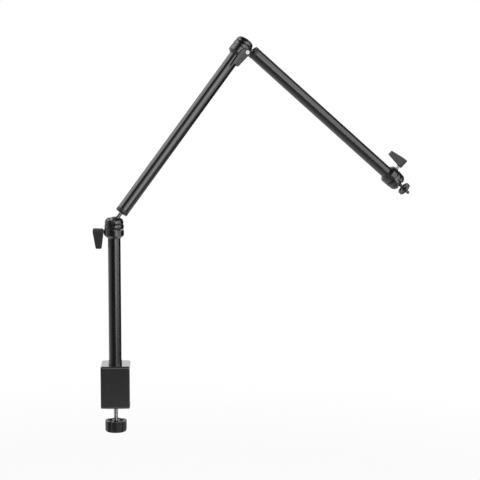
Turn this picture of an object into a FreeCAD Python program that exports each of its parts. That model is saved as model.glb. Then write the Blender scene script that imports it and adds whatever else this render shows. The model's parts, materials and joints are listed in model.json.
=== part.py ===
"""Flexible desk arm: a table clamp, a short post and two long tubes joined by lever-locked ball heads.

The origin lies on the desk, in the post's axis: the underside of the upper jaw's pad is Z = 0.
The clamp opens towards +Y, and its plain front plate faces -Y. Sizes are in millimetres.
"""
import FreeCAD, Part

import math
import os
import re

import Sketcher
from FreeCAD import Placement, Rotation, Vector

DRIVING = {
    # clamp bracket, bent from one flat bar
    "jaw_width": 51.0,
    "plate_thickness": 5.0,
    "throat": 65.4,
    "upper_jaw_depth": 60.0,
    "lower_jaw_depth": 42.0,
    "bend_radius": 4.0,
    "bracket_edge_radius": 2.4,
    "upper_corner_radius": 5.0,
    "lower_corner_radius": 9.0,
    "post_setback": 17.0,
    "jaw_pad_thickness": 1.5,
    "jaw_pad_inset": 2.0,
    # clamp screw, its bush, swivel pad and star knob
    "screw_forward": 10.0,
    "screw_radius": 3.95,
    "screw_bore_radius": 4.0,
    "bush_radius": 5.2,
    "bush_flange_radius": 7.5,
    "bush_flange_height": 1.5,
    "bush_drop": 4.6,
    "grip": 33.5,
    "swivel_radius": 15.0,
    "swivel_plate": 3.0,
    "swivel_hub_radius": 7.5,
    "swivel_hub_height": 9.0,
    "swivel_face_thickness": 2.0,
    "swivel_ball_radius": 4.0,
    "swivel_play": 0.12,
    "swivel_mouth_radius": 3.0,
    "swivel_ball_depth": 5.4,
    "swivel_face_inset": 1.0,
    "screw_neck_radius": 2.6,
    "screw_neck_length": 5.5,
    "screw_length": 72.6,
    "knob_radius": 19.2,
    "knob_height": 20.0,
    "knob_valley_depth": 2.4,
    "knob_valley_radius": 7.0,
    "knob_lobes": 6,
    "knob_wall": 2.6,
    "knob_floor": 17.4,
    "knob_hub_radius": 7.0,
    "knob_rib_width": 2.0,
    "knob_rib_drop": 0.3,
    "knob_rib_bite": 0.4,
    "knob_edge_radius": 4.5,
    "knob_screw_depth": 14.0,
    # post and its foot
    "foot_ring_radius": 11.7,
    "foot_ring_height": 9.0,
    "foot_spigot_length": 20.0,
    "foot_screw_radius": 3.0,
    "foot_screw_length": 18.0,
    "foot_screw_head_radius": 5.4,
    "foot_screw_head_height": 2.6,
    "post_rise": 224.0,
    # tubes
    "tube_radius": 11.0,
    "tube_wall": 1.5,
    "arm_tube_length": 338.0,
    "seat_gap": 0.05,
    # ball heads
    "ball_radius": 10.5,
    "ball_play": 0.15,
    "ball_height": 27.0,
    "skirt_radius": 11.7,
    "collar_radius": 17.0,
    "skirt_height": 4.9,
    "collar_top": 14.2,
    "groove_radius": 15.3,
    "groove_height": 2.0,
    "ring_two_radius": 16.3,
    "ring_two_height": 7.6,
    "ring_two_bulge": 11.8,
    "valley_radius": 15.3,
    "valley_height": 0.8,
    "ring_one_radius": 15.8,
    "ring_one_height": 5.0,
    "ring_one_bulge": 6.5,
    "dome_bulge": 6.0,
    "crown_radius": 11.7,
    "crown_rise": 7.6,
    "lip_rise": 4.6,
    "notch_half_width": 5.5,
    "notch_drop": 1.5,
    "slit_height": 2.0,
    "boss_radius": 5.0,
    "boss_reach": 17.6,
    "grub_radius": 2.0,
    "grub_length": 5.4,
    "grub_height": 9.8,
    "plug_floor": 6.5,
    "plug_rim": 12.6,
    "plug_bore_radius": 7.4,
    "plug_spigot_length": 18.0,
    "cup_foot": 14.1,
    "cup_rim": 21.5,
    "cup_play": 0.15,
    "cup_tip_gap": 0.35,
    "camera_stem_radius": 2.9,
    "camera_neck_radius": 3.7,
    "arm_stem_radius": 3.2,
    "arm_neck_radius": 4.0,
    "neck_reach": 12.6,
    "stem_reach": 21.4,
    "journal_length": 14.0,
    "journal_play": 0.05,
    # arm end caps
    "cap_radius": 11.2,
    "cap_edge": 1.0,
    "cap_recess_radius": 8.0,
    "cap_recess_depth": 2.0,
    "cap_spigot_length": 16.0,
    "cap_rim": 5.3,
    # locking levers
    "lever_height": 10.5,
    "spindle_radius": 3.0,
    "spindle_play": 0.1,
    "lever_reach": 19.6,
    "tip_spindle_out": 3.6,
    "handle_depth": 17.6,
    "handle_boss_radius": 5.0,
    "handle_boss_height": 0.8,
    "handle_hub_radius": 5.9,
    "handle_tip_half": 4.4,
    "handle_tip_corner": 2.6,
    "handle_edge_radius": 1.2,
    "handle_length": 29.9,
    "handle_tip_inner": 3.6,
    "handle_tip_outer": 12.4,
    "handle_waist": 7.0,
    "handle_shoulder": 0.5,
    "spline_count": 12,
    "spline_root": 3.6,
    "spline_tip": 4.2,
    "spline_width": 1.1,
    "spline_play": 0.15,
    "spline_foot": 5.6,
    "spline_height": 2.2,
    "spline_roof_gap": 0.2,
    "spline_bite": 0.6,
    "spline_tip_share": 0.6,
    "socket_radius": 4.5,
    "web_bore_radius": 1.8,
    "web_top": 11.0,
    "counterbore_radius": 3.6,
    "lever_screw_radius": 1.45,
    "lever_screw_head_radius": 3.3,
    "lever_screw_head_height": 2.2,
    "lever_screw_socket_radius": 1.55,
    "lever_screw_socket_depth": 1.5,
    "lever_screw_start": 1.5,
    "lever_screw_sunk": 0.4,
    "spring_radius": 2.55,
    "spring_wire": 0.5,
    "spring_turns": 3.5,
    # camera stud and lock disc
    "stud_radius": 3.175,
    "stud_length": 10.0,
    "stud_start": 24.5,
    "disc_radius": 12.0,
    "disc_height": 4.6,
    "disc_start": 19.6,
    "disc_dish": 1.6,
    "disc_hub_radius": 5.0,
    "disc_rim": 2.0,
    "disc_notches": 24,
    "disc_notch_radius": 0.75,
    "disc_play": 0.05,
    # by how much a cut runs past the faces it opens
    "outline_margin": 1.0,
    # pose in which the arm is built, in degrees
    "post_head_turn": -10.0,
    "lower_turn": 33.2,
    "lower_lean": 39.2,
    "lower_roll": 90.9,
    "upper_turn": -94.0,
    "upper_lean": 91.4,
    "upper_roll": 14.5,
    "camera_turn": 0.0,
    "camera_lean": 1.5,
    "elbow_lever_swing": -1.5,
}

DERIVED = {
    "jaw_top": "=jaw_pad_thickness + plate_thickness",
    "plate_bottom": "=jaw_pad_thickness - throat - plate_thickness",
    "plate_front": "=-post_setback",
    "plate_back": "=plate_thickness - post_setback",
    "upper_jaw_end": "=upper_jaw_depth - post_setback",
    "lower_jaw_end": "=lower_jaw_depth - post_setback",
    "lower_jaw_top": "=jaw_pad_thickness - throat",
    "head_seat": "=jaw_top + post_rise",
    "tube_bore": "=tube_radius - tube_wall",
    "spigot_radius": "=tube_bore - seat_gap",
    "swivel_top": "=-grip - swivel_face_thickness",
    "swivel_centre": "=-swivel_ball_depth",
    "seat_radius": "=ball_radius + ball_play",
    "lip_radius": "=sqrt(seat_radius^2 - lip_rise^2)",
    "ring_two_foot": "=collar_top + groove_height",
    "ring_two_top": "=ring_two_foot + ring_two_height",
    "ring_one_foot": "=ring_two_top + valley_height",
    "ring_one_top": "=ring_one_foot + ring_one_height",
    "plug_radius": "=seat_radius - seat_gap",
    "cup_radius": "=seat_radius - cup_play",
    "cup_rise": "=ball_height - cup_rim",
    "cup_seat_radius": "=sqrt(seat_radius^2 - cup_rise^2)",
    "cup_tip": "=lever_height + cup_tip_gap",
    "camera_neck_height": "=sqrt(ball_radius^2 - camera_neck_radius^2)",
    "arm_neck_height": "=sqrt(ball_radius^2 - arm_neck_radius^2)",
    "spline_top": "=spline_foot + spline_height",
    "spring_top": "=handle_depth - lever_screw_sunk - lever_screw_head_height",
    "ball_waist": "=sqrt(swivel_ball_radius^2 - screw_neck_radius^2)",
    "knob_hollow_radius": "=knob_radius - knob_valley_depth - knob_wall",
    "hexagon_flat": "=lever_screw_socket_radius * sqrt(3) / 2",
    "socket_roof": "=spline_top + spline_roof_gap",
    "socket_cut": "=spline_height + spline_roof_gap + outline_margin",
}

doc = FreeCAD.newDocument("desk_arm")
sheet = doc.addObject("Spreadsheet::Sheet", "Sizes")
pieces = []


def fill_sheet():
    """Write the driving sizes, then the sizes worked out from them, one alias a row."""
    rows = [(name, str(value)) for name, value in DRIVING.items()] + list(DERIVED.items())
    for row, (name, text) in enumerate(rows, start=1):
        sheet.set(f"A{row}", name)
        sheet.set(f"B{row}", text)
        sheet.setAlias(f"B{row}", name)
    doc.recompute()


def bound(text):
    """An expression in plain size names, as the document's objects need it."""
    return re.sub(r"[a-z]\w*", r"Sizes.\g<0>", text)


def size(text):
    """The value of an expression in plain size names."""
    return float(sheet.evalExpression(text))


def new_body(label, placement):
    """An empty body for one sub-part, in its place."""
    body = doc.addObject("PartDesign::Body", label)
    body.Label = label
    body.Placement = placement
    pieces.append(body)
    return body


def origin_feature(body, role):
    """One of the body's own origin planes or axes."""
    return next(part for part in body.Origin.OriginFeatures if part.Role == role)


def new_sketch(body, role, offset="0"):
    """A sketch on one of the body's origin planes, lifted from it by an expression."""
    sketch = body.newObject("Sketcher::SketchObject", "Sketch")
    sketch.AttachmentSupport = [(origin_feature(body, role), "")]
    sketch.MapMode = "FlatFace"
    sketch.setExpression("AttachmentOffset.Base.z", bound(offset))
    return sketch


def fix_point(sketch, geometry, position, x_text, y_text):
    """Tie one point of a sketch to two expressions."""
    for kind, text in (("DistanceX", x_text), ("DistanceY", y_text)):
        index = sketch.addConstraint(Sketcher.Constraint(kind, -1, 1, geometry, position, size(text)))
        sketch.setExpression(f"Constraints[{index}]", bound(text))


def bulging_arc(start, end, radius, side):
    """The short arc from start to end that bulges to the left (side 1) or right (side -1) of its chord."""
    chord = end - start
    middle = (start + end) * 0.5
    normal = Vector(-chord.y, chord.x, 0).normalize() * side
    rise = math.sqrt(max(radius * radius - chord.Length * chord.Length / 4, 0.0))
    return Part.Arc(start, middle + normal * (radius - rise), end)


def draw_outline(sketch, points):
    """A closed outline of (x, y) or (x, y, radius, side) corners; a radius makes the next edge an arc."""
    corners = [Vector(size(point[0]), size(point[1]), 0) for point in points]
    first = sketch.GeometryCount
    reversed_edges = []
    for index, point in enumerate(points):
        start = corners[index]
        end = corners[(index + 1) % len(points)]
        if len(point) == 2:
            sketch.addGeometry(Part.LineSegment(start, end), False)
            reversed_edges.append(False)
        else:
            sketch.addGeometry(bulging_arc(start, end, size(point[2]), point[3]), False)
            reversed_edges.append(point[3] == 1)
    for index, point in enumerate(points):
        geometry = first + index
        following = (index + 1) % len(points)
        start_of_edge = 2 if reversed_edges[index] else 1
        end_of_edge = 1 if reversed_edges[index] else 2
        next_start = 2 if reversed_edges[following] else 1
        sketch.addConstraint(
            Sketcher.Constraint("Coincident", geometry, end_of_edge, first + following, next_start)
        )
        fix_point(sketch, geometry, start_of_edge, point[0], point[1])
        if len(point) == 4:
            radius = sketch.addConstraint(Sketcher.Constraint("Radius", geometry, size(point[2])))
            sketch.setExpression(f"Constraints[{radius}]", bound(point[2]))


def draw_circle(sketch, x_text, y_text, radius_text):
    """A circle tied to expressions."""
    centre = Vector(size(x_text), size(y_text), 0)
    circle = Part.Circle(centre, Vector(0, 0, 1), size(radius_text))
    geometry = sketch.addGeometry(circle, False)
    index = sketch.addConstraint(Sketcher.Constraint("Radius", geometry, size(radius_text)))
    sketch.setExpression(f"Constraints[{index}]", bound(radius_text))
    fix_point(sketch, geometry, 3, x_text, y_text)


def add_feature(body, kind, sketch):
    """A feature of one sketch, which must change the body's volume."""
    feature = body.newObject(f"PartDesign::{kind}", kind)
    feature.Profile = sketch
    return feature


def checked(body, feature, before):
    """Recompute, and stop where the feature failed or changed nothing."""
    doc.recompute()
    if not feature.isValid() or abs(feature.Shape.Volume - before) < 1e-4:
        raise ValueError(f"{body.Label}: {feature.Name} changed nothing")
    return feature


def volume(body):
    """The body's volume so far."""
    return body.Shape.Volume if body.Tip else 0.0


def revolve(body, points):
    """Turn an outline in the XZ plane about Z."""
    sketch = new_sketch(body, "XZ_Plane")
    draw_outline(sketch, points)
    feature = add_feature(body, "Revolution", sketch)
    feature.ReferenceAxis = (sketch, ["V_Axis"])
    feature.Angle = 360
    return checked(body, feature, 0.0)


def groove(body, points):
    """Cut an outline in the XZ plane, turned about Z."""
    before = volume(body)
    sketch = new_sketch(body, "XZ_Plane")
    draw_outline(sketch, points)
    feature = add_feature(body, "Groove", sketch)
    feature.ReferenceAxis = (sketch, ["V_Axis"])
    feature.Angle = 360
    return checked(body, feature, before)


def extrude(body, kind, sketch, length_text, reverse=False, symmetric=False):
    """Pad or pocket a sketch by an expression."""
    before = volume(body)
    feature = add_feature(body, kind, sketch)
    feature.setExpression("Length", bound(length_text))
    feature.Reversed = reverse
    if symmetric:
        feature.SideType = "Symmetric"
    return checked(body, feature, before)


def round_hole(body, role, offset, x_text, y_text, radius_text, length_text, reverse=False):
    """A round pocket from one plane."""
    sketch = new_sketch(body, role, offset)
    draw_circle(sketch, x_text, y_text, radius_text)
    return extrude(body, "Pocket", sketch, length_text, reverse)


def round_pad(body, role, offset, x_text, y_text, radius_text, length_text, reverse=False):
    """A round pad from one plane."""
    sketch = new_sketch(body, role, offset)
    draw_circle(sketch, x_text, y_text, radius_text)
    return extrude(body, "Pad", sketch, length_text, reverse)


def polar(body, feature, count_text):
    """Repeat a feature round Z."""
    before = volume(body)
    pattern = body.newObject("PartDesign::PolarPattern", "PolarPattern")
    pattern.Originals = [feature]
    pattern.Axis = (origin_feature(body, "Z_Axis"), [""])
    pattern.Angle = 360
    pattern.setExpression("Occurrences", bound(count_text))
    body.Tip = pattern
    return checked(body, pattern, before)


def fillet(body, radius_text, wanted):
    """Round the edges of the body's last feature for which wanted(edge) holds."""
    before = volume(body)
    base = body.Tip
    names = [f"Edge{number}" for number, edge in enumerate(base.Shape.Edges, start=1) if wanted(edge)]
    feature = body.newObject("PartDesign::Fillet", "Fillet")
    feature.Base = (base, names)
    feature.setExpression("Radius", bound(radius_text))
    return checked(body, feature, before)


def upright(edge):
    """True for a straight edge along Z."""
    return len(edge.Vertexes) == 2 and abs(edge.tangentAt(edge.FirstParameter).z) > 0.999


def on_front_side(edge, side):
    """True for the front plate's outer edges on either side."""
    start = edge.Vertexes[0]
    return abs(abs(start.X) - side) < 0.01 and abs(start.Y - size("plate_front")) < 0.01


def at_depth(edge, depth):
    """True for an edge that starts at this Y."""
    return abs(edge.Vertexes[0].Y - depth) < 0.01


def outer_rim(edge, lower):
    """True for an edge of the handle's outer face or of its inner face, not of a bore."""
    middle = edge.CenterOfMass
    return middle.z > lower - 0.01 and not (edge.BoundBox.XLength < 0.01 and edge.BoundBox.YLength < 0.01)


def lifted(height_text):
    """A placement straight above the origin."""
    return Placement(Vector(0, 0, size(height_text)), Rotation())


def make_bracket():
    """The clamp's bent bar: upper jaw, front plate and lower jaw."""
    body = new_body("clamp_bracket", Placement())
    sketch = new_sketch(body, "YZ_Plane")
    draw_outline(
        sketch,
        [
            ("upper_jaw_end", "jaw_top"),
            ("plate_front + bend_radius", "jaw_top", "bend_radius", -1),
            ("plate_front", "jaw_top - bend_radius"),
            ("plate_front", "plate_bottom + bend_radius", "bend_radius", -1),
            ("plate_front + bend_radius", "plate_bottom"),
            ("lower_jaw_end", "plate_bottom"),
            ("lower_jaw_end", "lower_jaw_top"),
            ("plate_back", "lower_jaw_top"),
            ("plate_back", "jaw_pad_thickness"),
            ("upper_jaw_end", "jaw_pad_thickness"),
        ],
    )
    extrude(body, "Pad", sketch, "jaw_width", symmetric=True)
    upper_end = size("upper_jaw_end")
    lower_end = size("lower_jaw_end")
    fillet(body, "upper_corner_radius", lambda edge: upright(edge) and at_depth(edge, upper_end))
    fillet(body, "lower_corner_radius", lambda edge: upright(edge) and at_depth(edge, lower_end))
    side = size("jaw_width / 2")
    fillet(body, "bracket_edge_radius", lambda edge: upright(edge) and on_front_side(edge, side))
    round_hole(body, "XY_Plane", "jaw_top", "0", "0", "foot_screw_radius + seat_gap", "plate_thickness")
    head_hole = "foot_screw_head_radius + seat_gap"
    head_depth = "foot_screw_head_height + seat_gap"
    round_hole(body, "XY_Plane", "jaw_pad_thickness", "0", "0", head_hole, head_depth, reverse=True)
    bush_hole = "bush_radius + seat_gap"
    round_hole(body, "XY_Plane", "lower_jaw_top", "0", "screw_forward", bush_hole, "plate_thickness")


def make_jaw_pad():
    """The soft pad under the upper jaw."""
    body = new_body("upper_jaw_pad", Placement())
    sketch = new_sketch(body, "XY_Plane")
    half = "jaw_width / 2 - jaw_pad_inset"
    near = "plate_back + jaw_pad_inset"
    far = "upper_jaw_end - jaw_pad_inset"
    draw_outline(sketch, [(f"-({half})", near), (half, near), (half, far), (f"-({half})", far)])
    extrude(body, "Pad", sketch, "jaw_pad_thickness")
    far_edge = size(far)
    corner = "upper_corner_radius - jaw_pad_inset"
    fillet(body, corner, lambda edge: upright(edge) and at_depth(edge, far_edge))


def make_foot():
    """The turned foot that plugs the post's lower end, and the screw that holds it to the jaw."""
    body = new_body("post_foot", lifted("jaw_top"))
    revolve(
        body,
        [
            ("foot_screw_radius", "0"),
            ("foot_ring_radius", "0"),
            ("foot_ring_radius", "foot_ring_height"),
            ("spigot_radius", "foot_ring_height"),
            ("spigot_radius", "foot_ring_height + foot_spigot_length"),
            ("foot_screw_radius", "foot_ring_height + foot_spigot_length"),
        ],
    )
    screw = new_body("foot_screw", lifted("jaw_pad_thickness + seat_gap"))
    revolve(
        screw,
        [
            ("0", "0"),
            ("foot_screw_head_radius", "0"),
            ("foot_screw_head_radius", "foot_screw_head_height"),
            ("foot_screw_radius - seat_gap", "foot_screw_head_height"),
            ("foot_screw_radius - seat_gap", "foot_screw_length"),
            ("0", "foot_screw_length"),
        ],
    )


def make_tube(label, placement, length_text):
    """A plain round tube that starts at its placement."""
    body = new_body(label, placement)
    revolve(
        body,
        [("tube_bore", "0"), ("tube_radius", "0"), ("tube_radius", length_text), ("tube_bore", length_text)],
    )


def make_bush():
    """The threaded bush in the lower jaw."""
    place = Placement(Vector(0, size("screw_forward"), size("lower_jaw_top")), Rotation())
    body = new_body("screw_bush", place)
    bottom = "-plate_thickness - bush_drop"
    revolve(
        body,
        [
            ("screw_bore_radius", bottom),
            ("bush_radius", bottom),
            ("bush_radius", "0"),
            ("bush_flange_radius", "0"),
            ("bush_flange_radius", "bush_flange_height"),
            ("screw_bore_radius", "bush_flange_height"),
        ],
    )


def make_swivel(placement):
    """The swivel pad on the clamp screw, and its soft face."""
    face = new_body("swivel_pad_face", placement)
    round_pad(face, "XY_Plane", "0", "0", "0", "swivel_radius - swivel_face_inset", "swivel_face_thickness")
    body = new_body("swivel_pad", placement)
    cavity = "swivel_ball_radius + swivel_play"
    revolve(
        body,
        [
            ("0", "-swivel_hub_height"),
            ("swivel_hub_radius", "-swivel_hub_height"),
            ("swivel_hub_radius", "-swivel_plate"),
            ("swivel_radius", "-swivel_plate"),
            ("swivel_radius", "0"),
            ("0", "0"),
        ],
    )
    groove(
        body,
        [
            ("0", f"swivel_centre - ({cavity})", cavity, -1),
            (cavity, "swivel_centre", cavity, -1),
            ("0", f"swivel_centre + {cavity}"),
        ],
    )
    round_hole(body, "XY_Plane", "swivel_centre", "0", "0", "swivel_mouth_radius", "swivel_hub_height")


def make_clamp_screw(placement):
    """The clamp screw, with the ball that turns in the swivel pad."""
    body = new_body("clamp_screw", placement)
    neck = "swivel_centre - ball_waist - screw_neck_length"
    revolve(
        body,
        [
            ("0", "-screw_length"),
            ("screw_radius", "-screw_length"),
            ("screw_radius", neck),
            ("screw_neck_radius", neck),
            ("screw_neck_radius", "swivel_centre - ball_waist", "swivel_ball_radius", -1),
            ("swivel_ball_radius", "swivel_centre", "swivel_ball_radius", -1),
            ("0", "swivel_centre + swivel_ball_radius"),
        ],
    )


def make_knob(placement):
    """The six-lobed knob, hollow towards the jaw, with a hub and ribs."""
    body = new_body("clamp_knob", placement)
    round_pad(body, "XY_Plane", "0", "0", "0", "knob_radius", "knob_height")
    fillet(body, "knob_edge_radius", lambda edge: abs(edge.CenterOfMass.z) < 0.01)
    valley_centre = "knob_radius + knob_valley_radius - knob_valley_depth"
    valley = round_hole(
        body, "XY_Plane", "knob_height", valley_centre, "0", "knob_valley_radius", "knob_height"
    )
    polar(body, valley, "knob_lobes")
    hollow = new_sketch(body, "XY_Plane", "knob_height")
    draw_circle(hollow, "0", "0", "knob_hollow_radius")
    draw_circle(hollow, "0", "0", "knob_hub_radius")
    extrude(body, "Pocket", hollow, "knob_height - knob_floor")
    rib = new_sketch(body, "XY_Plane", "knob_floor")
    inner = "knob_hub_radius - knob_rib_bite"
    outer = "knob_hollow_radius + knob_rib_bite"
    draw_outline(
        rib,
        [
            (inner, "-knob_rib_width / 2"),
            (outer, "-knob_rib_width / 2"),
            (outer, "knob_rib_width / 2"),
            (inner, "knob_rib_width / 2"),
        ],
    )
    rib_pad = extrude(body, "Pad", rib, "knob_height - knob_floor - knob_rib_drop")
    polar(body, rib_pad, "knob_lobes")
    round_hole(body, "XY_Plane", "knob_height", "0", "0", "screw_radius + seat_gap", "knob_screw_depth")


def make_housing(label, placement):
    """A ball head's housing: ringed outside, with a drop notch, a half slit and a lever boss."""
    body = new_body(label, placement)
    revolve(
        body,
        [
            ("0", "0"),
            ("skirt_radius", "0"),
            ("collar_radius", "skirt_height"),
            ("collar_radius", "collar_top"),
            ("groove_radius", "collar_top"),
            ("groove_radius", "ring_two_foot"),
            ("ring_two_radius", "ring_two_foot", "ring_two_bulge", -1),
            ("ring_two_radius", "ring_two_top"),
            ("valley_radius", "ring_two_top + valley_height / 2"),
            ("ring_one_radius", "ring_one_foot", "ring_one_bulge", -1),
            ("ring_one_radius", "ring_one_top", "dome_bulge", -1),
            ("crown_radius", "ball_height + crown_rise"),
            ("lip_radius", "ball_height + lip_rise"),
            ("0", "ball_height + lip_rise"),
        ],
    )
    round_pad(body, "YZ_Plane", "0", "0", "lever_height", "boss_radius", "boss_reach", reverse=True)
    groove(
        body,
        [
            ("0", "0"),
            ("seat_radius", "0"),
            ("seat_radius", "ball_height", "seat_radius", -1),
            ("lip_radius", "ball_height + lip_rise"),
            ("0", "ball_height + lip_rise"),
        ],
    )
    notch = new_sketch(body, "XZ_Plane")
    low = "ball_height - notch_drop"
    high = "ball_height + 2 * crown_rise"
    draw_outline(
        notch,
        [
            ("-notch_half_width", low, "notch_half_width", -1),
            ("0", f"{low} - notch_half_width", "notch_half_width", -1),
            ("notch_half_width", low),
            ("notch_half_width", high),
            ("-notch_half_width", high),
        ],
    )
    extrude(body, "Pocket", notch, "collar_radius * 2", reverse=True)
    slit = new_sketch(body, "XZ_Plane")
    slit_top = "collar_top + slit_height"
    draw_outline(
        slit,
        [
            ("0", "collar_top"),
            ("collar_radius + outline_margin", "collar_top"),
            ("collar_radius + outline_margin", slit_top),
            ("0", slit_top),
        ],
    )
    extrude(body, "Pocket", slit, "collar_radius * 3", symmetric=True)
    spindle_hole = "spindle_radius + spindle_play"
    round_hole(body, "YZ_Plane", "0", "0", "lever_height", spindle_hole, "boss_reach + outline_margin")
    grub_hole = "grub_radius + seat_gap"
    through = "collar_radius + outline_margin"
    round_hole(body, "XZ_Plane", "0", "0", "grub_height", grub_hole, through, reverse=True)


def make_base_plug(label, placement):
    """The turned plug that closes the housing from below and stands in the tube."""
    body = new_body(label, placement)
    revolve(
        body,
        [
            ("0", "-plug_spigot_length"),
            ("spigot_radius", "-plug_spigot_length"),
            ("spigot_radius", "0"),
            ("plug_radius", "0"),
            ("plug_radius", "plug_rim"),
            ("plug_bore_radius", "plug_rim"),
            ("plug_bore_radius", "plug_floor"),
            ("0", "plug_floor"),
        ],
    )
    hole = "spindle_radius + spindle_play"
    round_hole(body, "YZ_Plane", "0", "0", "lever_height", hole, "plug_radius + outline_margin")


def make_cup(label, placement):
    """The pressure cup: a ball seat above, and below it the cone that the spindle lifts."""
    body = new_body(label, placement)
    cone = "cup_foot - cup_tip"
    revolve(
        body,
        [
            ("0", "cup_tip"),
            (cone, "cup_foot"),
            ("cup_radius", "cup_foot"),
            ("cup_radius", "cup_rim"),
            ("cup_seat_radius", "cup_rim", "seat_radius", 1),
            ("0", "ball_height - seat_radius"),
        ],
    )


def make_ball(label, placement, camera):
    """A ball with its stem: a smooth journal for an arm, or the camera stud at the tip."""
    body = new_body(label, placement)
    use = "camera" if camera else "arm"
    stem = f"{use}_stem_radius"
    outline = [
        ("0", "-ball_radius", "ball_radius", -1),
        ("ball_radius", "0", "ball_radius", -1),
        (f"{use}_neck_radius", f"{use}_neck_height"),
        (stem, "neck_reach"),
    ]
    if camera:
        end = "stud_start + stud_length"
        outline += [
            (stem, "stud_start"),
            ("stud_radius", "stud_start"),
            ("stud_radius", f"{end} - stud_radius / 4"),
            ("stud_radius * 3 / 4", end),
            ("0", end),
        ]
    else:
        end = "stem_reach + journal_length"
        outline += [(stem, end), ("0", end)]
    revolve(body, outline)


def make_cap(label, placement):
    """The plug at an arm's lower end, with a dished face and a bore for the ball's stem."""
    body = new_body(label, placement)
    bore = "arm_stem_radius + journal_play"
    revolve(
        body,
        [
            (bore, "cap_recess_depth"),
            ("cap_recess_radius - cap_edge", "cap_recess_depth"),
            ("cap_recess_radius", "0"),
            ("cap_radius - cap_edge", "0", "cap_edge", -1),
            ("cap_radius", "cap_edge"),
            ("cap_radius", "cap_rim"),
            ("spigot_radius", "cap_rim"),
            ("spigot_radius", "cap_rim + cap_spigot_length"),
            (bore, "cap_rim + cap_spigot_length"),
        ],
    )


def make_grub(label, placement):
    """The grub screw that holds the housing to its plug."""
    body = new_body(label, placement)
    start = "plug_radius + seat_gap"
    round_pad(body, "XZ_Plane", start, "0", "grub_height", "grub_radius", "grub_length")
    round_hole(
        body, "XZ_Plane", f"{start} + grub_length", "0", "grub_height", "grub_radius / 2", "grub_length / 2"
    )


def make_spindle(label, placement):
    """The lock spindle: a cone tip inside the head, a splined end inside the lever."""
    body = new_body(label, placement)
    revolve(
        body,
        [
            ("0", "-lever_reach"),
            ("spindle_radius", "spindle_radius - lever_reach"),
            ("spindle_radius", "spline_foot"),
            ("spline_root", "spline_foot"),
            ("spline_root", "spline_top"),
            ("lever_screw_radius + seat_gap", "spline_top"),
            ("lever_screw_radius + seat_gap", "lever_screw_start"),
            ("0", "lever_screw_start"),
        ],
    )
    tooth = new_sketch(body, "XY_Plane", "spline_foot")
    draw_spline_tooth(tooth, "0")
    pad = extrude(body, "Pad", tooth, "spline_height")
    polar(body, pad, "spline_count")


def draw_spline_tooth(sketch, play_text):
    """One spline tooth, or the gap for it with some play."""
    inner = "spline_root - spline_bite"
    outer = f"spline_tip + {play_text}"
    half = f"spline_width / 2 + {play_text}"
    narrow = f"({half}) * spline_tip_share"
    draw_outline(sketch, [(inner, f"-({half})"), (outer, f"-{narrow}"), (outer, narrow), (inner, half)])


def make_handle(label, placement):
    """The lever's moulded handle, with its splined socket and the counterbore for screw and spring."""
    body = new_body(label, placement)
    plan = new_sketch(body, "XY_Plane", "handle_boss_height")
    draw_outline(
        plan,
        [
            ("0", "handle_hub_radius", "handle_hub_radius", -1),
            ("-handle_hub_radius", "0", "handle_hub_radius", -1),
            ("0", "-handle_hub_radius"),
            ("handle_length", "-handle_tip_half"),
            ("handle_length", "handle_tip_half"),
        ],
    )
    extrude(body, "Pad", plan, "handle_depth - handle_boss_height")
    taper = new_sketch(body, "XZ_Plane")
    end = "handle_length + outline_margin"
    draw_outline(
        taper,
        [
            ("handle_shoulder", "handle_depth"),
            (end, "handle_tip_outer"),
            (end, "handle_depth + outline_margin"),
            ("handle_shoulder", "handle_depth + outline_margin"),
        ],
    )
    draw_outline(
        taper,
        [
            ("handle_waist", "handle_boss_height"),
            ("handle_waist", "0"),
            (end, "0"),
            (end, "handle_tip_inner"),
        ],
    )
    extrude(body, "Pocket", taper, "handle_hub_radius * 4", symmetric=True)
    tip = size("handle_length - outline_margin")
    fillet(body, "handle_tip_corner", lambda edge: upright(edge) and edge.Vertexes[0].X > tip)
    lower = size("handle_boss_height")
    fillet(body, "handle_edge_radius", lambda edge: not upright(edge) and outer_rim(edge, lower))
    round_pad(body, "XY_Plane", "0", "0", "0", "handle_boss_radius", "handle_boss_height + outline_margin")
    round_hole(body, "XY_Plane", "spline_foot", "0", "0", "socket_radius", "spline_foot")
    round_hole(body, "XY_Plane", "socket_roof", "0", "0", "spline_root + spline_play", "socket_cut")
    gap = new_sketch(body, "XY_Plane", "socket_roof")
    draw_spline_tooth(gap, "spline_play")
    cut = extrude(body, "Pocket", gap, "socket_cut")
    polar(body, cut, "spline_count")
    round_hole(body, "XY_Plane", "handle_depth", "0", "0", "web_bore_radius", "handle_depth - spline_top")
    round_hole(body, "XY_Plane", "handle_depth", "0", "0", "counterbore_radius", "handle_depth - web_top")


def make_lever_screw(label, placement):
    """The screw that keeps the handle and its spring on the spindle, with a hexagon socket."""
    body = new_body(label, placement)
    top = "spring_top + lever_screw_head_height"
    revolve(
        body,
        [
            ("0", "lever_screw_start + seat_gap"),
            ("lever_screw_radius", "lever_screw_start + seat_gap"),
            ("lever_screw_radius", "spring_top"),
            ("lever_screw_head_radius", "spring_top"),
            ("lever_screw_head_radius", top),
            ("0", top),
        ],
    )
    corner, half, flat = "lever_screw_socket_radius", "lever_screw_socket_radius / 2", "hexagon_flat"
    hexagon = new_sketch(body, "XY_Plane", top)
    draw_outline(
        hexagon,
        [
            (corner, "0"),
            (half, flat),
            (f"-{half}", flat),
            (f"-{corner}", "0"),
            (f"-{half}", f"-{flat}"),
            (half, f"-{flat}"),
        ],
    )
    extrude(body, "Pocket", hexagon, "lever_screw_socket_depth")


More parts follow.
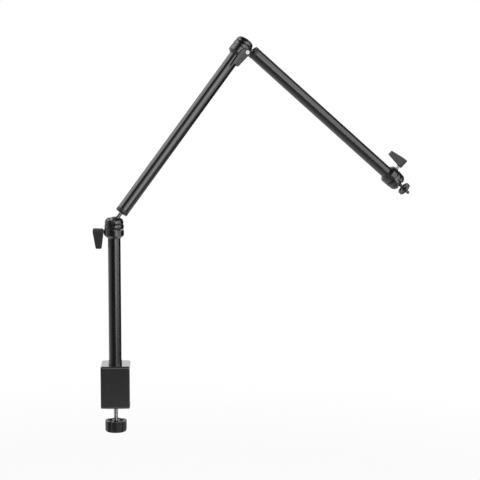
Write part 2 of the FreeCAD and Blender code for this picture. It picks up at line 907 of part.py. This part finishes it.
def make_spring(label, placement):
    """The small coil spring that draws the handle back onto the splines."""
    body = new_body(label, placement)
    wire = new_sketch(body, "XZ_Plane")
    half = "spring_wire / 2"
    low = f"web_top + {half} + seat_gap"
    draw_outline(
        wire,
        [
            (f"spring_radius - {half}", f"{low} - {half}"),
            (f"spring_radius + {half}", f"{low} - {half}"),
            (f"spring_radius + {half}", f"{low} + {half}"),
            (f"spring_radius - {half}", f"{low} + {half}"),
        ],
    )
    coil = body.newObject("PartDesign::AdditiveHelix", "AdditiveHelix")
    coil.Profile = wire
    coil.ReferenceAxis = (wire, ["V_Axis"])
    coil.Mode = "height-turns-growth"
    coil.setExpression("Height", bound("spring_top - web_top - spring_wire - 2 * seat_gap"))
    coil.setExpression("Turns", bound("spring_turns"))
    checked(body, coil, 0.0)


def make_disc(label, placement):
    """The notched disc that is run up against the camera."""
    body = new_body(label, placement)
    top = "disc_start + disc_height"
    bore = "camera_stem_radius + disc_play"
    revolve(
        body,
        [
            (bore, "disc_start"),
            ("disc_hub_radius", "disc_start"),
            ("disc_hub_radius + disc_dish", "disc_start + disc_dish"),
            ("disc_radius - disc_rim - disc_dish", "disc_start + disc_dish"),
            ("disc_radius - disc_rim", "disc_start"),
            ("disc_radius", "disc_start"),
            ("disc_radius", top),
            (bore, top),
        ],
    )
    notch_centre = "disc_radius + disc_notch_radius / 3"
    notch = round_hole(body, "XY_Plane", top, notch_centre, "0", "disc_notch_radius", "disc_height")
    polar(body, notch, "disc_notches")


def turned(angle_text):
    """A turn about Z."""
    return Placement(Vector(), Rotation(Vector(0, 0, 1), size(angle_text)))


def leaned(angle_text):
    """A lean about Y."""
    return Placement(Vector(), Rotation(Vector(0, 1, 0), size(angle_text)))


def make_head(name, head, spindle_out_text, swing_text):
    """All pieces of one ball head below its ball."""
    make_housing(f"{name}_housing", head)
    make_base_plug(f"{name}_base_plug", head)
    make_cup(f"{name}_pressure_cup", head)
    make_grub(f"{name}_grub_screw", head)
    sideways = Rotation(Vector(0, 0, -1), Vector(0, -1, 0), Vector(-1, 0, 0), "ZXY")
    reach = Placement(Vector(0, 0, size(f"lever_reach + {spindle_out_text}")), Rotation())
    lever = head * lifted("lever_height") * Placement(Vector(), sideways) * reach * turned(swing_text)
    make_spindle(f"{name}_lever_spindle", lever)
    make_handle(f"{name}_lever_handle", lever)
    make_lever_screw(f"{name}_lever_screw", lever)
    make_spring(f"{name}_lever_spring", lever)
    report(f"{name}_head", head * lifted("ball_height"))
    report(f"{name}_lever", lever)


def make_arm(name, ball, roll_text):
    """One arm: the ball that carries it, its end cap and its tube. Returns where its own head stands."""
    make_ball(f"{name}_arm_ball", ball, camera=False)
    arm = ball * turned(roll_text) * lifted("stem_reach")
    make_cap(f"{name}_arm_cap", arm)
    make_tube(f"{name}_arm_tube", arm * lifted("cap_rim"), "arm_tube_length")
    report(f"{name}_arm", ball)
    return arm * lifted("cap_rim + arm_tube_length")


def report(name, placement):
    """Print where a joint stands and its three axes."""
    axes = [placement.Rotation.multVec(axis) for axis in (Vector(1, 0, 0), Vector(0, 1, 0), Vector(0, 0, 1))]
    numbers = [placement.Base] + axes
    print("JOINT", name, " ".join(f"{number:.9f}" for vector in numbers for number in vector))


def make_arm_chain():
    """The three heads and two arms, each in the frame of the one before it."""
    post_head = lifted("head_seat") * turned("post_head_turn")
    make_head("post", post_head, "0", "0")
    lower_ball = post_head * lifted("ball_height") * turned("lower_turn") * leaned("lower_lean")
    elbow_head = make_arm("lower", lower_ball, "lower_roll")
    make_head("elbow", elbow_head, "0", "elbow_lever_swing")
    upper_ball = elbow_head * lifted("ball_height") * turned("upper_turn") * leaned("upper_lean")
    tip_head = make_arm("upper", upper_ball, "upper_roll")
    make_head("tip", tip_head, "tip_spindle_out", "0")
    camera_ball = tip_head * lifted("ball_height") * turned("camera_turn") * leaned("camera_lean")
    make_ball("camera_ball", camera_ball, camera=True)
    make_disc("lock_disc", camera_ball)
    report("camera_ball", camera_ball)


def make_clamp():
    """The clamp with its screw, pads and knob."""
    make_bracket()
    make_jaw_pad()
    make_bush()
    swivel = Placement(Vector(0, size("screw_forward"), size("swivel_top")), Rotation())
    make_swivel(swivel)
    make_clamp_screw(swivel)
    knob_drop = size("-screw_length - seat_gap + knob_screw_depth - knob_height")
    make_knob(swivel * Placement(Vector(0, 0, knob_drop), Rotation()))


def check_and_write():
    """Stop on any failed object or bad shape, then write one file for each piece."""
    doc.recompute()
    for item in doc.Objects:
        if "Invalid" in item.State or "Error" in item.State:
            raise ValueError(f"{item.Name} in {item.State}")
    for body in pieces:
        if body.Shape.isNull() or not body.Shape.isValid() or len(body.Shape.Solids) != 1:
            raise ValueError(f"{body.Label} is no single sound solid")
    os.makedirs("parts", exist_ok=True)
    for body in pieces:
        body.Shape.exportStep(f"parts/{body.Label}.step")
    print(len(pieces), "pieces written")


fill_sheet()
make_clamp()
make_foot()
make_tube("post_tube", lifted("jaw_top + foot_ring_height"), "post_rise - foot_ring_height")
make_arm_chain()
check_and_write()
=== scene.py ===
"""Looks of the flexible desk arm: finishes, threads and the plain studio it stands in.

All places and sizes are in metres, in the same frame as the solids: the origin lies on the desk,
in the post's axis, +Z is up and the plain front plate faces -Y. Only the screws' sizes are in mm.
"""

import json
import math

import bmesh
import bpy
from mathutils import Matrix, Vector


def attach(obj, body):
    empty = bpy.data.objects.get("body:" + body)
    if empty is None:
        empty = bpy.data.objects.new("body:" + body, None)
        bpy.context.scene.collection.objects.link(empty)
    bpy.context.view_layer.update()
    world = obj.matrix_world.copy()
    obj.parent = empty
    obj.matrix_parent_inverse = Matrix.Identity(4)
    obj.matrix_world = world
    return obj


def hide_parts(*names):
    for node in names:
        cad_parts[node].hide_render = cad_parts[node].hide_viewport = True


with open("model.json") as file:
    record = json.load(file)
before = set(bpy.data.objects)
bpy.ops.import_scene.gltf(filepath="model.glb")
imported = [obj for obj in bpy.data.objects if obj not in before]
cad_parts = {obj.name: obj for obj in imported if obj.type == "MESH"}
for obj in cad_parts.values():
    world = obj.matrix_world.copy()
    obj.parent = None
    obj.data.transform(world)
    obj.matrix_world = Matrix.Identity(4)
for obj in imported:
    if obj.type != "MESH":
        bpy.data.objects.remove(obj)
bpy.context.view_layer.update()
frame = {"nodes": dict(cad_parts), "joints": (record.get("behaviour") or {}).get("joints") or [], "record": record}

MM = 0.001
# a colour Mix node's sockets, by number because its other data types use the same names
MIX_SHARE, MIX_FIRST, MIX_SECOND, MIX_RESULT = 0, 6, 7, 2

# Camera, read from the photograph.
LENS = 150.0
SENSOR = 36.0
CAMERA_PITCH = math.radians(8.0)
CAMERA_TURN = math.radians(1.5)
CAMERA_DISTANCE = 3.464
CAMERA_REACH = 60.0
IMAGE_SIZE = 480
POST_POINT = Vector((0.0, 0.0, 0.227))
POST_PIXEL = (114.2, 240.0)

# Floor: it fades out between two shares of its reach, and mirrors see it darken towards the front.
FLOOR_HEIGHT = -0.40
FLOOR_REACH = 1.8
FLOOR_FADE = (0.6, 0.98)
FLOOR_GREY = 0.86
FLOOR_WHITENESS = 0.9
FRONT_FLOOR_EDGE = (-0.45, -0.05)
FRONT_FLOOR_GLOW = 0.35

# World: its light, and what mirrors see of it: the pale backdrop, a lighter wall on the left, a strip high
# up behind and the dark rest. An edge is where one glow turns into the next, from and to, by the X, Y or Z
# of the direction looked in, or for the backdrop by its dot product with the slant.
AMBIENT = 0.25
DARK_GLOW = 0.03
BACKDROP_GLOW = 1.0
BACKDROP_SLANT = (-0.9, 1.0, 0.4)
BACKDROP_EDGE = (0.7, 0.86)
LEFT_GLOW = 0.55
LEFT_EDGE = (-0.95, -0.6)
HIGH_GLOW = 0.7
HIGH_EDGE = (0.38, 0.52)
HIGH_BACK_EDGE = (0.35, 0.6)

# Lamps: name, degrees to the right of the front, degrees up, distance, width, height, radiance.
LAMPS = (
    ("key", 26.0, 13.0, 3.2, 1.8, 3.1, 3.6),
    ("side", 66.0, 14.0, 3.2, 2.8, 3.1, 2.15),
    ("front", 0.5, 20.0, 3.2, 1.0, 2.4, 1.1),
    ("left", -91.0, 47.0, 3.0, 2.9, 1.8, 2.3),
)
LAMP_AIM = Vector((0.22, 0.09, 0.22))

# Finishes: shader inputs, greys of the clean and the worn surface, lowest and highest roughness, and the
# grain's spots to the metre and its depth.
FINISHES = {
    "black_anodised": ({"IOR": 1.65}, (0.003, 0.005), (0.20, 0.26), 1800.0, 0.00002),
    "bracket_coat": (
        {"IOR": 1.5, "Coat Weight": 0.85, "Coat Roughness": 0.06}, (0.021, 0.025), (0.16, 0.20), 1400.0, 0.00001
    ),
    "knob_plastic": ({"IOR": 1.46}, (0.005, 0.008), (0.28, 0.36), 2200.0, 0.00004),
    "pad_rubber": ({"IOR": 1.45}, (0.016, 0.024), (0.72, 0.84), 1500.0, 0.00015),
    "black_steel": ({"IOR": 1.6}, (0.012, 0.02), (0.25, 0.35), 1500.0, 0.00003),
    "ball_steel": ({"IOR": 1.8}, (0.02, 0.028), (0.24, 0.32), 1500.0, 0.00002),
    "bright_steel": ({"Metallic": 1.0}, (0.38, 0.46), (0.23, 0.33), 1200.0, 0.00002),
    "plain_steel": ({"Metallic": 1.0}, (0.42, 0.5), (0.28, 0.40), 1200.0, 0.00003),
    "bare_aluminium": ({"Metallic": 1.0}, (0.2, 0.28), (0.44, 0.56), 1200.0, 0.00003),
    "handle_plastic": ({"IOR": 1.6}, (0.014, 0.02), (0.40, 0.48), 2200.0, 0.00004),
    "cap_plastic": ({"IOR": 1.5}, (0.01, 0.014), (0.46, 0.54), 2200.0, 0.00004),
}
# the finish of a node whose name ends in one of these words, where it isn't its slot's
OWN_FINISHES = {"handle": "handle_plastic", "cap": "cap_plastic"}
CLOUDS = 60.0
CLOUD_DETAIL = 4.0
CLOUD_SHARE = 0.6
GRAIN_DETAIL = 2.0
GRAIN_ROUGHNESS = 0.6
GRAIN_STRENGTH = 0.25
MOTTLE_EDGE = (0.3, 0.7)

# Turned and threaded pieces.
TURNED_STEPS = 48
THREAD_STEPS = 24
THREAD_FADE = 1.4
RIDGE_CORNERS = 3
THREAD_INPUTS = {
    "Crest radius": "Float",
    "Depth": "Float",
    "Turns": "Float",
    "Pitch": "Float",
    "Steps per turn": "Int",
    "Finish": "Material",
}
SMOOTH_ANGLE = math.radians(30.0)
END_CHAMFER = 0.5
FOOT_CHAMFER = 0.4

# Clamp screw, M8, in mm from the centre of its ball.
SCREW_THREAD = {"Crest radius": 3.95, "Depth": 0.66, "Pitch": 1.25}
SCREW_END = -67.2
SCREW_SHOULDER = -8.54
SCREW_RIDGE = (SCREW_END + 0.5, SCREW_SHOULDER - 0.5)
SCREW_NECK = 2.6
SCREW_NECK_ANGLE = 40.6
SCREW_BALL = 4.0
SCREW_BALL_STEPS = 12

# Camera stud, 1/4 inch with 20 threads to the inch, in mm from the centre of its ball.
STUD_THREAD = {"Crest radius": 3.175, "Depth": 0.68, "Pitch": 1.27}
STUD_BALL = 10.5
STUD_BALL_STEPS = 32
STUD_NECK_ANGLE = 159.4
STUD_NECK_REACH = 12.6
STUD_STEM = 2.9
STUD_START = 24.5
STUD_END = 34.5
STUD_RIDGE = (STUD_START + 0.5, STUD_END - 0.4)


class Value:
    """A node's output that adds maths nodes when it is used in an expression."""

    def __init__(self, graph, socket):
        self.graph = graph
        self.socket = socket

    def maths(self, operation, *terms):
        return self.graph.node("ShaderNodeMath", {"operation": operation}, dict(enumerate(terms)))

    def __add__(self, other):
        return self.maths("ADD", self, other)

    def __mul__(self, other):
        return self.maths("MULTIPLY", self, other)

    __radd__ = __add__
    __rmul__ = __mul__

    def __sub__(self, other):
        return self.maths("SUBTRACT", self, other)

    def __rsub__(self, other):
        return self.maths("SUBTRACT", other, self)

    def largest(self, other):
        return self.maths("MAXIMUM", self, other)

    def smallest(self, other):
        return self.maths("MINIMUM", self, other)


class Graph:
    """The nodes of one material, of the world or of a Geometry Nodes tree."""

    def __init__(self, tree):
        self.tree = tree
        tree.nodes.clear()

    def link(self, socket, value):
        """Give a socket a value, or link it to a node's output."""
        if isinstance(value, Value):
            self.tree.links.new(value.socket, socket)
        else:
            socket.default_value = value

    def node(self, kind, settings=None, inputs=None, output=0):
        """One node: its settings first, then its sockets' values or links. Returns one of its outputs."""
        made = self.tree.nodes.new(kind)
        for name, value in (settings or {}).items():
            setattr(made, name, value)
        for name, value in (inputs or {}).items():
            self.link(made.inputs[name], value)
        return Value(self, made.outputs[output]) if len(made.outputs) else None

    def place(self, scale=(1.0, 1.0, 1.0)):
        """Object coordinates, scaled along each axis."""
        coordinates = self.node("ShaderNodeTexCoord", output="Object")
        return self.node("ShaderNodeMapping", {"vector_type": "POINT"}, {"Vector": coordinates, "Scale": scale})

    def split(self, vector):
        """The three parts of a vector."""
        parts = self.node("ShaderNodeSeparateXYZ", {}, {0: vector}).socket.node.outputs
        return [Value(self, part) for part in parts]

    def noise(self, spots, detail, roughness=0.5):
        """Soft noise from 0 to 1, with so many spots to the metre."""
        inputs = {"Vector": self.place(), "Scale": spots, "Detail": detail, "Roughness": roughness}
        return self.node("ShaderNodeTexNoise", {"noise_dimensions": "3D"}, inputs, "Fac")

    def range(self, value, edge, low, high):
        """Go from low to high while the value crosses an edge, given as from and to."""
        inputs = {"Value": value, "From Min": edge[0], "From Max": edge[1], "To Min": low, "To Max": high}
        return self.node("ShaderNodeMapRange", {"clamp": True}, inputs)

    def mix(self, share, first, second):
        """A colour between two greys."""
        mixed = self.tree.nodes.new("ShaderNodeMix")
        mixed.data_type = "RGBA"
        for index, value in ((MIX_SHARE, share), (MIX_FIRST, grey(first)), (MIX_SECOND, grey(second))):
            self.link(mixed.inputs[index], value)
        return Value(self, mixed.outputs[MIX_RESULT])


def grey(value):
    """An opaque grey."""
    return (value, value, value, 1.0)


def material_graph(name):
    """A new material and the nodes to build it with."""
    material = bpy.data.materials.new(name)
    material.use_nodes = True
    return material, Graph(material.node_tree)


def make_finish(name, inputs, greys, roughness, grain_spots, grain_depth):
    """A satin material: cloudy roughness, a faint drift of its grey and a fine grain."""
    material, graph = material_graph(name)
    cloud = graph.noise(CLOUDS, CLOUD_DETAIL)
    grain = graph.noise(grain_spots, GRAIN_DETAIL, GRAIN_ROUGHNESS)
    mottle = CLOUD_SHARE * cloud + (1.0 - CLOUD_SHARE) * grain
    bumps = {"Height": grain, "Strength": GRAIN_STRENGTH, "Distance": grain_depth}
    varying = {
        "Base Color": graph.mix(cloud, *greys),
        "Roughness": graph.range(mottle, MOTTLE_EDGE, *roughness),
        "Normal": graph.node("ShaderNodeBump", {}, bumps),
    }
    shader = graph.node("ShaderNodeBsdfPrincipled", {}, {**inputs, **varying})
    graph.node("ShaderNodeOutputMaterial", {}, {"Surface": shader})
    return material


def dress_solids(finishes):
    """Give every solid the finish of its slot, or the one its own name asks for."""
    slots = {entry["node"]: entry["material_slot"] for entry in frame["record"]["subparts"]}
    for name, item in frame["nodes"].items():
        own = OWN_FINISHES.get(name.rsplit("_", 1)[1], slots[name])
        item.data.materials.clear()
        item.data.materials.append(finishes[own])


def thread_tree():
    """A screw thread's ridge: a triangle swept up a right-handed helix, faded out at both ends."""
    tree = bpy.data.node_groups.new("thread", "GeometryNodeTree")
    for title, kind in THREAD_INPUTS.items():
        tree.interface.new_socket(title, in_out="INPUT", socket_type=f"NodeSocket{kind}")
    tree.interface.new_socket("Geometry", in_out="OUTPUT", socket_type="NodeSocketGeometry")
    graph = Graph(tree)
    given = {title: graph.node("NodeGroupInput", output=title) for title in THREAD_INPUTS}
    depth, turns = given["Depth"], given["Turns"]
    core = given["Crest radius"] - depth
    spiral = {
        "Resolution": given["Steps per turn"],
        "Rotations": turns,
        "Start Radius": core,
        "End Radius": core,
        "Height": turns * given["Pitch"],
    }
    helix = graph.node("GeometryNodeCurveSpiral", {}, spiral)
    upright = graph.node("GeometryNodeSetCurveNormal", {"mode": "Z_UP"}, {"Curve": helix})
    along = graph.node("GeometryNodeSplineParameter", output="Factor")
    ends = (along * turns * THREAD_FADE).smallest((1.0 - along) * turns * THREAD_FADE)
    corners = {"Resolution": RIDGE_CORNERS, "Radius": depth}
    triangle = graph.node("GeometryNodeCurvePrimitiveCircle", {"mode": "RADIUS"}, corners)
    sweep = {"Curve": upright, "Profile Curve": triangle, "Scale": ends.smallest(1.0), "Fill Caps": True}
    swept = graph.node("GeometryNodeCurveToMesh", {}, sweep)
    real = graph.node("GeometryNodeRealizeInstances", {}, {"Geometry": swept})
    coloured = graph.node("GeometryNodeSetMaterial", {}, {"Geometry": real, "Material": given["Finish"]})
    graph.node("NodeGroupOutput", {}, {"Geometry": coloured})
    return tree


def bake(name, tree, values):
    """Run a tree once and keep its result as a plain mesh."""
    mesh = bpy.data.meshes.new(name)
    maker = bpy.data.objects.new(name + "_maker", mesh)
    bpy.context.scene.collection.objects.link(maker)
    modifier = maker.modifiers.new("tree", "NODES")
    modifier.node_group = tree
    for item in tree.interface.items_tree:
        if item.in_out == "INPUT":
            modifier[item.identifier] = values[item.name]
    evaluated = maker.evaluated_get(bpy.context.evaluated_depsgraph_get())
    baked = bpy.data.meshes.new_from_object(evaluated)
    bpy.data.objects.remove(maker)
    return baked


def lathe(mesh, outline):
    """Add a turned body round Z to a bmesh, from (radius, height) points, lowest first; radius 0 closes it."""
    rings = []
    for radius, height in outline:
        turns = [math.tau * step / TURNED_STEPS for step in range(TURNED_STEPS if radius else 1)]
        rings.append([mesh.verts.new((radius * math.cos(t), radius * math.sin(t), height)) for t in turns])
    for low, high in zip(rings, rings[1:]):
        for step in range(TURNED_STEPS):
            after = (step + 1) % TURNED_STEPS
            corners = [low[step % len(low)], low[after % len(low)], high[after % len(high)], high[step % len(high)]]
            mesh.faces.new(list(dict.fromkeys(corners)))


def arc(radius, start, end, steps):
    """Points of a ball's outline round the origin, by angle from straight down, in degrees."""
    angles = [math.radians(start + (end - start) * step / steps) for step in range(steps + 1)]
    return [(radius * math.sin(angle), -radius * math.cos(angle)) for angle in angles]


def make_threaded(name, outline, thread, reach, place, finish, tree):
    """A turned piece with a screw thread from reach's first height to its second, in mm, set in its place."""
    start, end = reach
    values = {"Turns": (end - start) / thread["Pitch"], "Steps per turn": THREAD_STEPS, "Finish": finish}
    ridge = bake(name + "_thread", tree, {**thread, **values})
    ridge.transform(Matrix.Translation((0.0, 0.0, start)))
    shape = bmesh.new()
    lathe(shape, outline)
    shape.from_mesh(ridge)
    bpy.data.meshes.remove(ridge)
    shape.transform(place @ Matrix.Scale(MM, 4))
    bmesh.ops.recalc_face_normals(shape, faces=shape.faces)
    mesh = bpy.data.meshes.new(name)
    shape.to_mesh(mesh)
    shape.free()
    mesh.shade_smooth()
    mesh.set_sharp_from_angle(angle=SMOOTH_ANGLE)
    mesh.materials.clear()
    mesh.materials.append(finish)
    piece = bpy.data.objects.new(name, mesh)
    bpy.context.scene.collection.objects.link(piece)
    return piece


def axis_place(centre, axis):
    """The frame at one joint's centre with Z along another joint's axis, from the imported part."""
    joints = {joint["name"]: joint for joint in frame["joints"]}
    turned = Vector(joints[axis]["axis"]).to_track_quat("Z", "Y").to_matrix().to_4x4()
    return Matrix.Translation(joints[centre]["pos_m"]) @ turned


def make_clamp_screw(finishes, tree):
    """The clamp screw with its M8 thread, its neck and the ball in the swivel pad."""
    core = SCREW_THREAD["Crest radius"] - SCREW_THREAD["Depth"]
    outline = [
        (0.0, SCREW_END),
        (core - END_CHAMFER, SCREW_END),
        (core, SCREW_END + END_CHAMFER),
        (core, SCREW_SHOULDER - FOOT_CHAMFER),
        (SCREW_NECK, SCREW_SHOULDER),
    ]
    outline += arc(SCREW_BALL, SCREW_NECK_ANGLE, 180.0, SCREW_BALL_STEPS)[:-1] + [(0.0, SCREW_BALL)]
    place = axis_place("clamp_screw_turn", "clamp_screw_turn")
    steel = finishes["bright_steel"]
    piece = make_threaded("clamp_screw_threaded", outline, SCREW_THREAD, SCREW_RIDGE, place, steel, tree)
    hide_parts("clamp_screw")
    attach(piece, "screw")


def make_camera_stud(finishes, tree):
    """The tip ball with its stem and the threaded stud for a camera."""
    core = STUD_THREAD["Crest radius"] - STUD_THREAD["Depth"]
    outline = [(0.0, -STUD_BALL)] + arc(STUD_BALL, 0.0, STUD_NECK_ANGLE, STUD_BALL_STEPS)[1:]
    outline += [
        (STUD_STEM, STUD_NECK_REACH),
        (STUD_STEM, STUD_START),
        (core, STUD_START + FOOT_CHAMFER),
        (core, STUD_END - END_CHAMFER),
        (core - END_CHAMFER, STUD_END),
        (0.0, STUD_END),
    ]
    place = axis_place("tip_tilt", "disc_turn")
    steel = finishes["ball_steel"]
    piece = make_threaded("camera_ball_threaded", outline, STUD_THREAD, STUD_RIDGE, place, steel, tree)
    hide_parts("camera_ball")
    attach(piece, "camera_end")


def make_camera():
    """The photograph's camera."""
    sine, cosine = math.sin(CAMERA_TURN), math.cos(CAMERA_TURN)
    forward = Vector((sine * math.cos(CAMERA_PITCH), cosine * math.cos(CAMERA_PITCH), -math.sin(CAMERA_PITCH)))
    right = Vector((cosine, -sine, 0.0))
    up = right.cross(forward)
    focal = LENS / SENSOR * IMAGE_SIZE
    half = IMAGE_SIZE / 2
    across = (POST_PIXEL[0] - half) * CAMERA_DISTANCE / focal
    down = (POST_PIXEL[1] - half) * CAMERA_DISTANCE / focal
    place = POST_POINT - forward * CAMERA_DISTANCE - right * across + up * down
    data = bpy.data.cameras.new("camera")
    data.lens = LENS
    data.sensor_width = SENSOR
    data.clip_end = CAMERA_REACH
    camera = bpy.data.objects.new("camera", data)
    camera.matrix_world = Matrix(
        (
            (right.x, up.x, -forward.x, place.x),
            (right.y, up.y, -forward.y, place.y),
            (right.z, up.z, -forward.z, place.z),
            (0.0, 0.0, 0.0, 1.0),
        )
    )
    bpy.context.scene.collection.objects.link(camera)
    bpy.context.scene.camera = camera


def make_lamp(name, right, up, distance, width, height, radiance):
    """A soft rectangular lamp that faces the object."""
    data = bpy.data.lights.new(name, "AREA")
    data.shape = "RECTANGLE"
    data.size, data.size_y = width, height
    data.energy = radiance * math.pi * width * height
    lamp = bpy.data.objects.new(name, data)
    right, up = math.radians(right), math.radians(up)
    offset = Vector((math.sin(right) * math.cos(up), -math.cos(right) * math.cos(up), math.sin(up)))
    lamp.location = LAMP_AIM + offset * distance
    lamp.rotation_euler = (-offset).to_track_quat("-Z", "Y").to_euler()
    bpy.context.scene.collection.objects.link(lamp)


def ray_kinds(graph):
    """Two masks: rays that show the background, from the camera, a mirror or glass, and a mirror's rays alone."""
    kinds = ("Is Camera Ray", "Is Glossy Ray", "Is Transmission Ray")
    camera, mirrored, through = (graph.node("ShaderNodeLightPath", output=kind) for kind in kinds)
    return camera.largest(mirrored).largest(through), mirrored


def make_floor():
    """A plain pale floor, white to camera and mirror rays, that keeps the shadow and fades out at its edge."""
    mesh = bpy.data.meshes.new("floor")
    reach = FLOOR_REACH
    corners = [(-reach, -reach), (reach, -reach), (reach, reach), (-reach, reach)]
    mesh.from_pydata([(x, y, FLOOR_HEIGHT) for x, y in corners], [], [(0, 1, 2, 3)])
    floor = bpy.data.objects.new("floor", mesh)
    material, graph = material_graph("floor")
    flat = graph.place((1.0, 1.0, 0.0))
    away = graph.node("ShaderNodeVectorMath", {"operation": "LENGTH"}, {0: flat}, "Value")
    seen, mirrored = ray_kinds(graph)
    depth = graph.split(flat)[1]
    lightness = 1.0 - mirrored * graph.range(depth, FRONT_FLOOR_EDGE, 1.0 - FRONT_FLOOR_GLOW, 0.0)
    lit = graph.node("ShaderNodeBsdfDiffuse", {}, {"Color": grey(FLOOR_GREY)})
    white = graph.node("ShaderNodeEmission", {}, {"Color": grey(1.0), "Strength": lightness})
    pale = graph.node("ShaderNodeMixShader", {}, {0: seen * FLOOR_WHITENESS, 1: lit, 2: white})
    faded = graph.range(away, [reach * share for share in FLOOR_FADE], 0.0, 1.0)
    open_air = graph.node("ShaderNodeBsdfTransparent")
    surface = graph.node("ShaderNodeMixShader", {}, {0: faded, 1: pale, 2: open_air})
    graph.node("ShaderNodeOutputMaterial", {}, {"Surface": surface})
    mesh.materials.append(material)
    bpy.context.scene.collection.objects.link(floor)


def make_world():
    """White to the camera; mirrors see the backdrop, a lighter wall on the left and the dark rest."""
    world = bpy.data.worlds.new("studio")
    world.use_nodes = True
    bpy.context.scene.world = world
    graph = Graph(world.node_tree)
    direction = graph.node("ShaderNodeTexCoord", output="Generated")
    rightward, backward, upward = graph.split(direction)
    slant = {0: direction, 1: BACKDROP_SLANT}
    slanted = graph.node("ShaderNodeVectorMath", {"operation": "DOT_PRODUCT"}, slant, "Value")
    behind = graph.range(slanted, BACKDROP_EDGE, 0.0, 1.0)
    high = graph.range(upward, HIGH_EDGE, 0.0, HIGH_GLOW) * graph.range(backward, HIGH_BACK_EDGE, 0.0, 1.0)
    left = graph.range(rightward, LEFT_EDGE, LEFT_GLOW, DARK_GLOW)
    glow = (left + (BACKDROP_GLOW - left) * behind).largest(high)
    seen, mirrored = ray_kinds(graph)
    strength = (1.0 - mirrored) + glow * mirrored
    dim = graph.node("ShaderNodeBackground", {}, {"Color": grey(1.0), "Strength": AMBIENT})
    white = graph.node("ShaderNodeBackground", {}, {"Color": grey(1.0), "Strength": strength})
    mixed = graph.node("ShaderNodeMixShader", {}, {0: seen, 1: dim, 2: white})
    graph.node("ShaderNodeOutputWorld", {}, {"Surface": mixed})


bpy.context.scene.view_settings.view_transform = "Standard"
make_camera()
make_floor()
make_world()
for lamp in LAMPS:
    make_lamp(*lamp)
finishes = {name: make_finish(name, *values) for name, values in FINISHES.items()}
dress_solids(finishes)
threads = thread_tree()
make_clamp_screw(finishes, threads)
make_camera_stud(finishes, threads)
